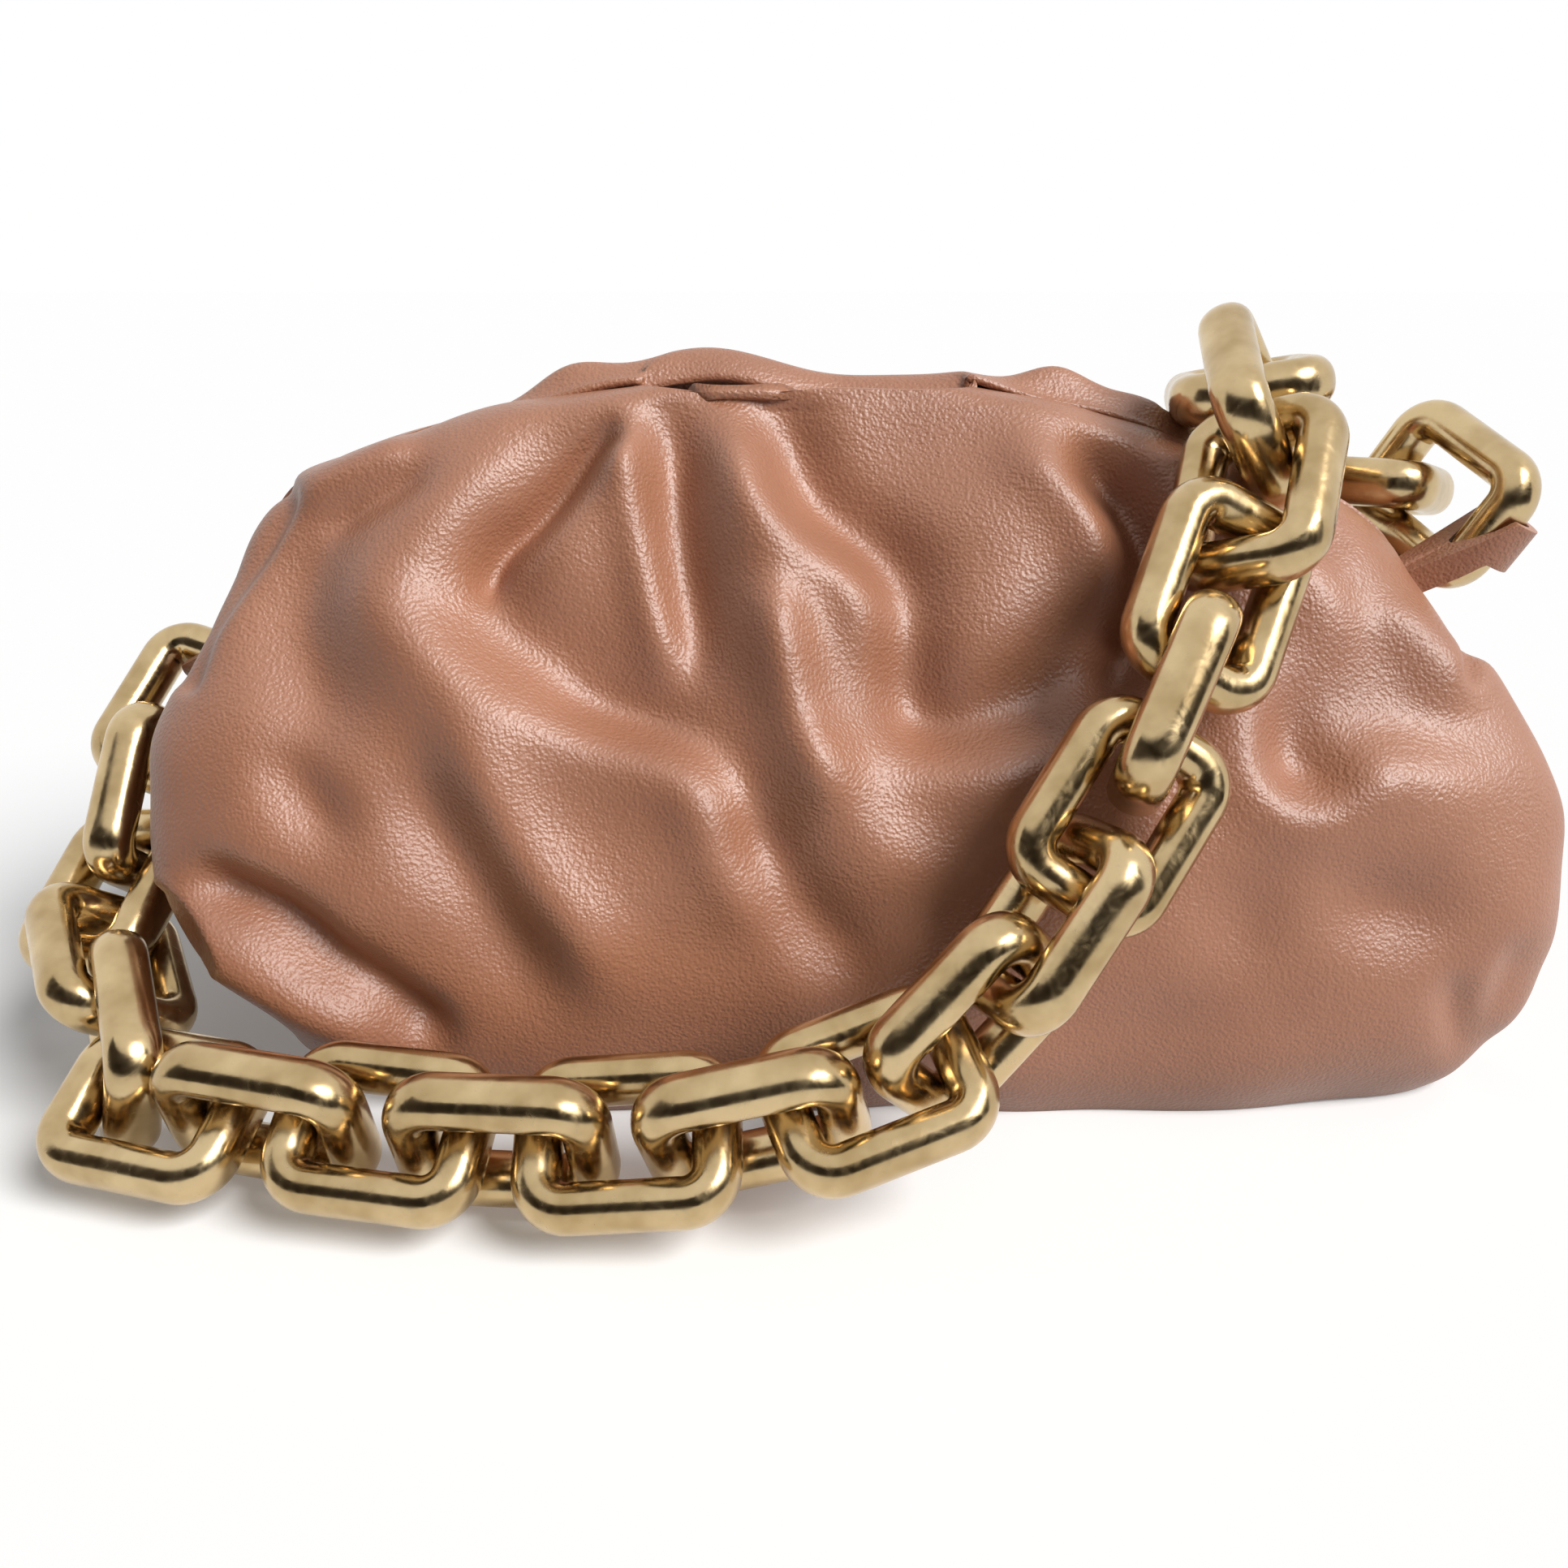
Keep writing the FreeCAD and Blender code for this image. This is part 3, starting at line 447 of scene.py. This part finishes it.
def studio_world():
    made = bpy.data.worlds.new("studio")
    made.use_nodes = True
    tree = made.node_tree
    fill = tree.nodes["Background"]
    fill.inputs["Color"].default_value = opaque(WHITE)
    fill.inputs["Strength"].default_value = FILL_STRENGTH
    white = add(tree, "ShaderNodeBackground", Color=opaque(WHITE), Strength=BACKDROP_STRENGTH)
    surface = tree.nodes["World Output"].inputs["Surface"]
    backdrop_mix(tree, fill.outputs["Background"], white.outputs["Background"], surface)
    return made


def smooth_levels():
    # Level shares along the height, eased so that no level shows as an edge.
    table = np.array(LEVEL_SHARES)
    heights = np.linspace(0, 1, LEVEL_STEPS)
    ends = 3 * LEVEL_EASE_STEPS
    kernel = np.exp(-0.5 * (np.arange(-ends, ends + 1) / LEVEL_EASE_STEPS) ** 2)
    kernel /= kernel.sum()
    columns = [heights]
    for column in range(1, table.shape[1]):
        values = np.interp(heights, table[:, 0], table[:, column])
        below = 2 * values[0] - values[ends:0:-1]
        above = 2 * values[-1] - values[-2:-ends - 2:-1]
        columns.append(np.convolve(np.concatenate([below, values, above]), kernel, "valid"))
    return np.stack(columns, 1)


def half_outline(level, side, columns):
    # One half of the outline at a level, from left to right, evenly spaced; side -1 is the front.
    height, left_share, right_share, depth_share, tuck_share = level
    turn = np.linspace(math.pi, 0, OUTLINE_STEPS)
    along = np.sign(np.cos(turn)) * np.abs(np.cos(turn)) ** (2 / SIDE_POWER)
    across = side * np.abs(np.sin(turn)) ** (2 / FACE_POWER)
    right = along > 0
    width = np.where(right, right_share, left_share) * BAG_WIDTH
    right_middle = RIGHT_TUCK_SHARES[0] + RIGHT_TUCK_SHARES[1] * height
    left_middle = LEFT_TUCK_SHARES[0] + LEFT_TUCK_SHARES[1] * height
    middle = np.where(right, right_middle, left_middle)
    reach = np.where(right, RIGHT_TUCK_SHARES[2], LEFT_TUCK_SHARES[2])
    tuck = tuck_share * SIDE_TUCK * np.exp(-((across - middle) / reach) ** 2)
    tuck *= np.abs(along) ** SIDE_POWER
    x = along * width - np.sign(along) * tuck
    y = across * (depth_share * BAG_DEPTH)
    length = np.concatenate([[0], np.cumsum(np.hypot(np.diff(x), np.diff(y)))])
    even = np.linspace(0, length[-1], columns)
    z = np.full(columns, height * BAG_HEIGHT)
    return np.stack([np.interp(even, length, x), np.interp(even, length, y), z], 1)


def even_rows(levels, count):
    # Rows spaced evenly along the left edge, which runs up and in.
    step = np.hypot(np.diff(levels[:, 0]) * BAG_HEIGHT, np.diff(levels[:, 1]) * BAG_WIDTH)
    length = np.concatenate([[0], np.cumsum(step)])
    even = np.linspace(0, length[-1], count)
    return np.stack([np.interp(even, length, column) for column in levels.T], 1)


def pouch_half(side, rows, columns):
    levels = even_rows(smooth_levels(), rows)
    return np.stack([half_outline(level, side, columns) for level in levels])


def eased(share):
    return share * share * (3 - 2 * share)


def top_share(grid, start):
    # How far each point is from the start of the gathered top to the bag's full height.
    return np.clip((grid[..., 2] / BAG_HEIGHT - start) / (1 - start), 0, 1)


def lowered_top(grid, drop, reach):
    # The top of a panel, let down in the middle of the mouth.
    lowered = grid.copy()
    ease = eased(top_share(grid, LOWERED_FROM_SHARE))
    lowered[..., 2] -= drop * ease * np.exp(-(grid[..., 0] / reach) ** 4)
    return lowered


def with_lobes(grid, lobes):
    # Rolls of the gathered top that stand up behind the front edge.
    behind = np.clip(np.abs(grid[..., 1]) / LOBE_SETBACK, 0, 1)
    ease = eased(top_share(grid, LOBES_FROM_SHARE)) * eased(behind)
    raised = grid.copy()
    for middle, reach, lift in lobes.values():
        raised[..., 2] += lift * ease * np.exp(-((grid[..., 0] - middle) / reach) ** 2)
    return raised


def with_lip(grid, side, drop):
    # The top edge rolls in until it all but meets the other panel at the middle plane.
    edge = grid[-1]
    rows = []
    for share in np.linspace(0, 1, LIP_ROWS + 1)[1:]:
        row = edge.copy()
        row[:, 1] = edge[:, 1] * (1 - share) + side * LIP_GAP * share
        row[:, 2] = edge[:, 2] - drop * share ** 2
        rows.append(row)
    return np.concatenate([grid, np.array(rows)])


def photo_pixels(points):
    # Where points of the frame appear in the photograph.
    away = points - np.array(CAMERA_PLACE)
    forward = np.array((0, math.cos(CAMERA_PITCH), -math.sin(CAMERA_PITCH)))
    upward = np.array((0, math.sin(CAMERA_PITCH), math.cos(CAMERA_PITCH)))
    depth = away @ forward
    across = PHOTO_PIXELS / 2 + FOCAL_PIXELS * away[..., 0] / depth
    down = PHOTO_PIXELS / 2 - FOCAL_PIXELS * (away @ upward) / depth
    return np.stack([across, down], -1)


def stroke_share(pixels, points, half_width):
    # How strongly a stroke acts at each pixel place: full on its line, fading to its sides and ends.
    points = np.array(points, float)
    lengths = np.hypot(*np.diff(points, axis=0).T)
    starts = np.concatenate([[0], np.cumsum(lengths)])
    count = max(2, round(SPOTS_PER_HALF_WIDTH * starts[-1] / half_width))
    even = (np.arange(count) + 0.5) * starts[-1] / count
    line = np.stack([np.interp(even, starts, points[:, axis]) for axis in (0, 1)], 1)
    total = np.zeros(pixels.shape[:-1])
    for spot in line:
        gap = ((pixels - spot) ** 2).sum(-1)
        near = gap < (SPOT_HALF_WIDTHS * half_width) ** 2
        total[near] += np.exp(-gap[near] / half_width ** 2)
    return total * starts[-1] / (count * math.sqrt(math.pi) * half_width)


def grid_normals(grid):
    up = np.gradient(grid, axis=0)
    along = np.gradient(grid, axis=1)
    normal = np.cross(along, up)
    return normal / np.maximum(np.linalg.norm(normal, axis=-1, keepdims=True), SHORTEST_NORMAL)


def ripples(points, seed, height, shortest, longest):
    draw = np.random.default_rng(seed)
    total = np.zeros(points.shape[:-1])
    for _ in range(RIPPLE_WAVES):
        direction = draw.normal(size=3)
        direction /= np.linalg.norm(direction)
        length = draw.uniform(shortest, longest)
        total += np.sin(points @ direction * (2 * math.pi / length) + draw.uniform(0, 2 * math.pi))
    return total * height / math.sqrt(RIPPLE_WAVES / 2)


def rows_below_lip(grid):
    return np.arange(len(grid))[::-1, None] - LIP_ROWS


def fold_height(grid, folds):
    # All strokes together, fading out at the lip.
    pixels = photo_pixels(grid)
    height = np.zeros(grid.shape[:-1])
    for depth, half_width, points in folds.values():
        height += depth * stroke_share(pixels, points, half_width)
    return height * np.clip(rows_below_lip(grid) / LIP_FADE_ROWS, 0, 1)


def clear_of_chain(grid, height, chain_groups):
    # Folds stop short of the links that lie on them.
    flat = grid.reshape(-1, 3)
    for points, room in chain_groups:
        tree = KDTree(len(points))
        for index, point in enumerate(points):
            tree.insert(point, index)
        tree.balance()
        gaps = np.array([tree.find(point)[2] for point in flat]).reshape(height.shape)
        height = np.minimum(height, np.maximum(gaps - room, 0))
    return height


def clear_of_frame(grid, side):
    # The leather stays outside the metal frame in the mouth.
    reach = np.hypot(grid[..., 0], grid[..., 2] - FRAME_CENTRE)
    beside = np.clip((FRAME_ROOM - np.abs(reach - FRAME_RADIUS)) / FRAME_EASE, 0, 1)
    beside *= np.abs(grid[..., 0]) < FRAME_HALF_RUN
    beside *= np.clip(rows_below_lip(grid) / FRAME_FADE_ROWS, 0, 1)
    cleared = grid.copy()
    push = np.maximum(FRAME_HALF_DEPTH - side * grid[..., 1], 0)
    cleared[..., 1] += side * push * beside
    return cleared


def draped(grid, side, folds, swellings, chain_groups):
    # A panel with its folds, clear of the chain and of the frame.
    normal = grid_normals(grid) * -side
    height = fold_height(grid, folds) + ripples(grid, *swellings)
    height = clear_of_chain(grid, height, chain_groups)
    return clear_of_frame(grid + normal * height[..., None], side)


def made_mesh(name, points, faces, smooth=False):
    mesh = bpy.data.meshes.new(name)
    mesh.from_pydata(points, [], faces)
    mesh.polygons.foreach_set("use_smooth", [smooth] * len(mesh.polygons))
    mesh.update()
    return mesh


def sheet_mesh(name, grid, normal, thickness):
    # A closed sheet of the given thickness under the grid.
    rows, columns = grid.shape[:2]
    outer = grid.reshape(-1, 3)
    inner = (grid - normal * thickness).reshape(-1, 3)
    count = rows * columns
    faces = []
    for row in range(rows - 1):
        for column in range(columns - 1):
            corner = row * columns + column
            quad = (corner, corner + 1, corner + columns + 1, corner + columns)
            faces.append(quad)
            faces.append(tuple(count + index for index in reversed(quad)))
    rim = list(range(columns))
    rim += [row * columns + columns - 1 for row in range(1, rows)]
    rim += [(rows - 1) * columns + column for column in range(columns - 2, -1, -1)]
    rim += [row * columns for row in range(rows - 2, 0, -1)]
    for first, second in zip(rim, rim[1:] + rim[:1]):
        faces.append((second, first, count + first, count + second))
    return made_mesh(name, np.concatenate([outer, inner]).tolist(), faces, smooth=True)


def heading(degrees):
    turn = math.radians(degrees)
    return np.array((math.cos(turn), math.sin(turn), 0))


def link_mesh(length, width, thickness):
    # An oval bar round a rounded rectangle.
    run = (length - BAR_WIDTH) / 2 - LINK_CORNER_RADIUS
    rise = (width - BAR_WIDTH) / 2 - LINK_CORNER_RADIUS
    line = []
    for quarter, (x, y) in enumerate(((run, rise), (-run, rise), (-run, -rise), (run, -rise))):
        for angle in np.linspace(quarter * 90, quarter * 90 + 90, LINK_CORNER_STEPS):
            out = heading(angle)
            line.append((np.array((x, y, 0)) + out * LINK_CORNER_RADIUS, out))
        span = 2 * (run if quarter % 2 == 0 else rise)
        onward = heading(quarter * 90 + 180)
        last, out = line[-1]
        for share in np.linspace(0, 1, LINK_SIDE_STEPS)[1:-1]:
            line.append((last + onward * span * share, out))
    around = np.linspace(0, 2 * math.pi, BAR_STEPS, endpoint=False)
    swell = np.sign(np.cos(around)) * np.abs(np.cos(around)) ** BAR_POWER
    lift = np.sign(np.sin(around)) * np.abs(np.sin(around)) ** BAR_POWER
    points = []
    faces = []
    for step, (middle, out) in enumerate(line):
        ring = step * BAR_STEPS
        onward_ring = (step + 1) % len(line) * BAR_STEPS
        for spot in range(BAR_STEPS):
            upward = np.array((0, 0, thickness / 2 * lift[spot]))
            points.append((middle + out * BAR_WIDTH / 2 * swell[spot] + upward).tolist())
            after = (spot + 1) % BAR_STEPS
            faces.append((ring + spot, onward_ring + spot, onward_ring + after, ring + after))
    return made_mesh("link", points, faces, smooth=True)


def link_frame(node):
    # Middle and axes of a link, from the areas of its facets, and its spans along them.
    mesh = nodes[node].data
    count = len(mesh.polygons)
    centres = np.zeros(count * 3)
    areas = np.zeros(count)
    mesh.polygons.foreach_get("center", centres)
    mesh.polygons.foreach_get("area", areas)
    centres = centres.reshape(-1, 3)
    middle = (centres * areas[:, None]).sum(0) / areas.sum()
    offset = centres - middle
    _, axes = np.linalg.eigh((offset * areas[:, None]).T @ offset)
    along = axes[:, 2]
    across = axes[:, 1]
    facing = np.cross(along, across)
    points = np.zeros(len(mesh.vertices) * 3)
    mesh.vertices.foreach_get("co", points)
    points = points.reshape(-1, 3) - middle
    spans = [np.ptp(points @ axis) for axis in (along, across, facing)]
    turn = Matrix([list(row) for row in np.stack([along, across, facing], 1)]).to_4x4()
    return nodes[node].matrix_world @ Matrix.Translation(Vector(middle)) @ turn, spans


def strap_mesh(name, middle, tail, across):
    # A strap folded round a bar, in the plane across it, with its ends led together to the tail.
    run = tail - middle
    run -= across * run.dot(across)
    reach = run.length
    run.normalize()
    side = across.cross(run)
    open_angle = math.acos((STRAP_RIM - STRAP_TAIL) / reach)
    outer = []
    for turn in np.linspace(open_angle, 2 * math.pi - open_angle, STRAP_RIM_STEPS):
        outer.append(middle + (run * math.cos(turn) + side * math.sin(turn)) * STRAP_RIM)
    end = middle + run * reach
    for turn in np.linspace(-open_angle, open_angle, STRAP_TAIL_STEPS):
        outer.append(end + (run * math.cos(turn) + side * math.sin(turn)) * STRAP_TAIL)
    inner = [middle + (spot - middle).normalized() * STRAP_BORE for spot in outer]
    # The tail leans sideways to the frame's end.
    lean = across * (tail - middle).dot(across)
    for ring in (outer, inner):
        ring[:] = [spot + lean * min(max((spot - middle).dot(run) / reach, 0), 1) for spot in ring]
    half = across * (STRAP_WIDTH / 2)
    points = [tuple(spot + shift) for shift in (-half, half) for ring in (outer, inner) for spot in ring]
    count = len(outer)
    faces = []
    for step in range(count):
        after = (step + 1) % count
        faces.append((step, after, 2 * count + after, 2 * count + step))
        faces.append((count + after, count + step, 3 * count + step, 3 * count + after))
        faces.append((after, step, count + step, count + after))
        faces.append((2 * count + step, 2 * count + after, 3 * count + after, 3 * count + step))
    return made_mesh(name, points, faces)


def node_middle(node):
    corners = [nodes[node].matrix_world @ Vector(corner) for corner in nodes[node].bound_box]
    return sum(corners, Vector()) / len(corners)


def link_object(name, data):
    made = bpy.data.objects.new(name, data)
    bpy.context.scene.collection.objects.link(made)
    return made


def place_piece(name, mesh, finish):
    piece = link_object(name, mesh)
    mesh.materials.append(finish)
    return piece


def stage_piece(name, points, faces, finish):
    mesh = made_mesh(name, points, faces)
    mesh.materials.append(finish)
    piece = link_object(name, mesh)
    return piece


tan = leather_material()
gold = gold_material()
steel = steel_material()
cloth = lining_material()

# Chain links.
chain_nodes = sorted(name for name in nodes if name.startswith("chain_link"))
shared_link = link_mesh(*link_frame(chain_nodes[0])[1])
shared_link.materials.append(gold)
link_vertices = np.array([vertex.co for vertex in shared_link.vertices])
chain_points = []
for name in chain_nodes:
    place, _ = link_frame(name)
    piece = link_object(name.replace("chain_link", "gold_link"), shared_link)
    piece.matrix_world = place
    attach(piece, name.replace("chain_", ""))
    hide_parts(name)
    turned = np.array(place)
    chain_points.append(link_vertices @ turned[:3, :3].T + turned[:3, 3])
chain_groups = (
    (np.concatenate(chain_points[:FIRST_LEFT_LINK - 1]), CHAIN_ROOM),
    (np.concatenate(chain_points[FIRST_LEFT_LINK - 1:]), SWING_ROOM),
)

# Leather: the front panel, the rear panel and the base.
front_grid = lowered_top(pouch_half(-1, FRONT_ROWS, FRONT_COLUMNS), FRONT_DROP, FRONT_DROP_REACH)
front_grid = with_lip(front_grid, -1, FRONT_LIP_DROP)
front_grid = draped(front_grid, -1, FRONT_FOLDS, FRONT_RIPPLES, chain_groups)
front_mesh = sheet_mesh("front_leather", front_grid, grid_normals(front_grid), LEATHER_THICKNESS)
front = place_piece("front_leather", front_mesh, tan)
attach(front, "bag")
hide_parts("leather_front")

rear_grid = with_lobes(pouch_half(1, REAR_ROWS, REAR_COLUMNS), REAR_LOBES)
rear_grid = with_lip(rear_grid, 1, REAR_LIP_DROP)
rear_grid = draped(rear_grid, 1, REAR_FOLDS, REAR_RIPPLES, chain_groups)
rear_mesh = sheet_mesh("rear_leather", rear_grid, -grid_normals(rear_grid), LEATHER_THICKNESS)
rear = place_piece("rear_leather", rear_mesh, tan)
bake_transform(rear)
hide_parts("leather_rear", "leather_rear_fold")

base_outline = np.concatenate([front_grid[0], rear_grid[0][-2:0:-1]])
base_outline = np.concatenate([base_outline, base_outline[:1]])
base_middle = np.array((base_outline[:, 0].mean(), 0, BASE_RISE))
base_core = base_middle + base_outline * (BASE_SPREAD_SHARE, 0, 0)
shrink = np.linspace(0.0, 1.0, BASE_ROWS)[:, None, None]
base_grid = base_outline[None] * (1 - shrink) + base_core[None] * shrink
downward = np.broadcast_to((0, 0, -1.0), base_grid.shape)
base_mesh = sheet_mesh("base_leather", base_grid, downward, LEATHER_THICKNESS)
base = place_piece("base_leather", base_mesh, tan)
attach(base, "bag")
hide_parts("leather_base")

# Lining: a thin bag that follows the leather inside.
for name, grid, outward in (("lining_cloth", front_grid, 1), ("lining_cloth_rear", rear_grid, -1)):
    inner = grid - outward * grid_normals(grid) * LINING_INSET
    inner = inner[::LINING_STRIDE, ::LINING_STRIDE]
    low = inner[inner[..., 2].max(axis=1) < LINING_TOP_SHARE * BAG_HEIGHT]
    mesh = sheet_mesh("lining", low, outward * grid_normals(low), LINING_THICKNESS)
    piece = place_piece(name, mesh, cloth)
    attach(piece, "bag")
    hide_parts("lining")

# Metal inside the mouth.
for part in ("frame", "magnets"):
    for side in ("front", "rear"):
        nodes[f"{side}_{part}"].data.materials.clear()
        nodes[f"{side}_{part}"].data.materials.append(steel)

# Hinge pins, and the straps that lead from them round the ends of the chain.
for side, chain_node in (("left", chain_nodes[-1]), ("right", chain_nodes[0])):
    name = f"{side}_chain_tab"
    pin = f"{side}_hinge_pin"
    nodes[pin].data.materials.clear()
    nodes[pin].data.materials.append(steel)
    place, spans = link_frame(chain_node)
    reach = place.col[0].to_3d() * ((spans[0] - BAR_WIDTH) / 2)
    across = place.col[1].to_3d()
    tab_middle = node_middle(name)
    ends = (place.translation + reach, place.translation - reach)
    bar = min(ends, key=lambda end: (end - tab_middle).length)
    mesh = strap_mesh(name, bar, node_middle(pin), across)
    strap = place_piece(f"{side}_strap", mesh, tan)
    rounding = strap.modifiers.new("rounding", "BEVEL")
    rounding.width = STRAP_ROUNDING
    rounding.segments = STRAP_ROUNDING_STEPS
    rounding.limit_method = "ANGLE"
    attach(strap, "bag")
    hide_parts(name)

# Floor and sky, white to the camera and to mirrors, with a dim fill light.
corners = [(-FLOOR_REACH, -FLOOR_REACH), (FLOOR_REACH, -FLOOR_REACH)]
corners += [(FLOOR_REACH, FLOOR_REACH), (-FLOOR_REACH, FLOOR_REACH)]
stage_piece("floor", [(x, y, -FLOOR_GAP) for x, y in corners], [(0, 1, 2, 3)], paper_material())
bpy.context.scene.world = studio_world()

# A dark card round the front, out of the camera's sight, that the metal mirrors.
turns = np.linspace(-math.pi / 2 - CARD_SPAN / 2, -math.pi / 2 + CARD_SPAN / 2, CARD_STEPS)
card_points = []
for turn in turns:
    for z in (0, CARD_HEIGHT):
        card_points.append((CARD_RADIUS * math.cos(turn), CARD_RADIUS * math.sin(turn), z))
card_faces = [(2 * step, 2 * step + 2, 2 * step + 3, 2 * step + 1) for step in range(CARD_STEPS - 1)]
card = stage_piece("dark_card", card_points, card_faces, card_material())
card.visible_camera = False
card.visible_diffuse = False
card.visible_shadow = False

# Sun.
sun_data = bpy.data.lights.new("overhead_light", "SUN")
sun_data.energy = SUN_STRENGTH
sun_data.angle = SUN_SPREAD
sun = link_object("overhead_light", sun_data)
sun.rotation_euler = (-SUN_FROM).to_track_quat("-Z", "Y").to_euler()

# Camera.
camera_data = bpy.data.cameras.new("photo_camera")
camera_data.sensor_width = SENSOR_WIDTH
camera_data.lens = SENSOR_WIDTH * FOCAL_PIXELS / PHOTO_PIXELS
camera_data.clip_start = CAMERA_NEAR
camera = link_object("photo_camera", camera_data)
camera.location = CAMERA_PLACE
camera.rotation_euler = (math.pi / 2 - CAMERA_PITCH, 0, 0)
bpy.context.scene.camera = camera
bpy.context.scene.view_settings.view_transform = "Standard"
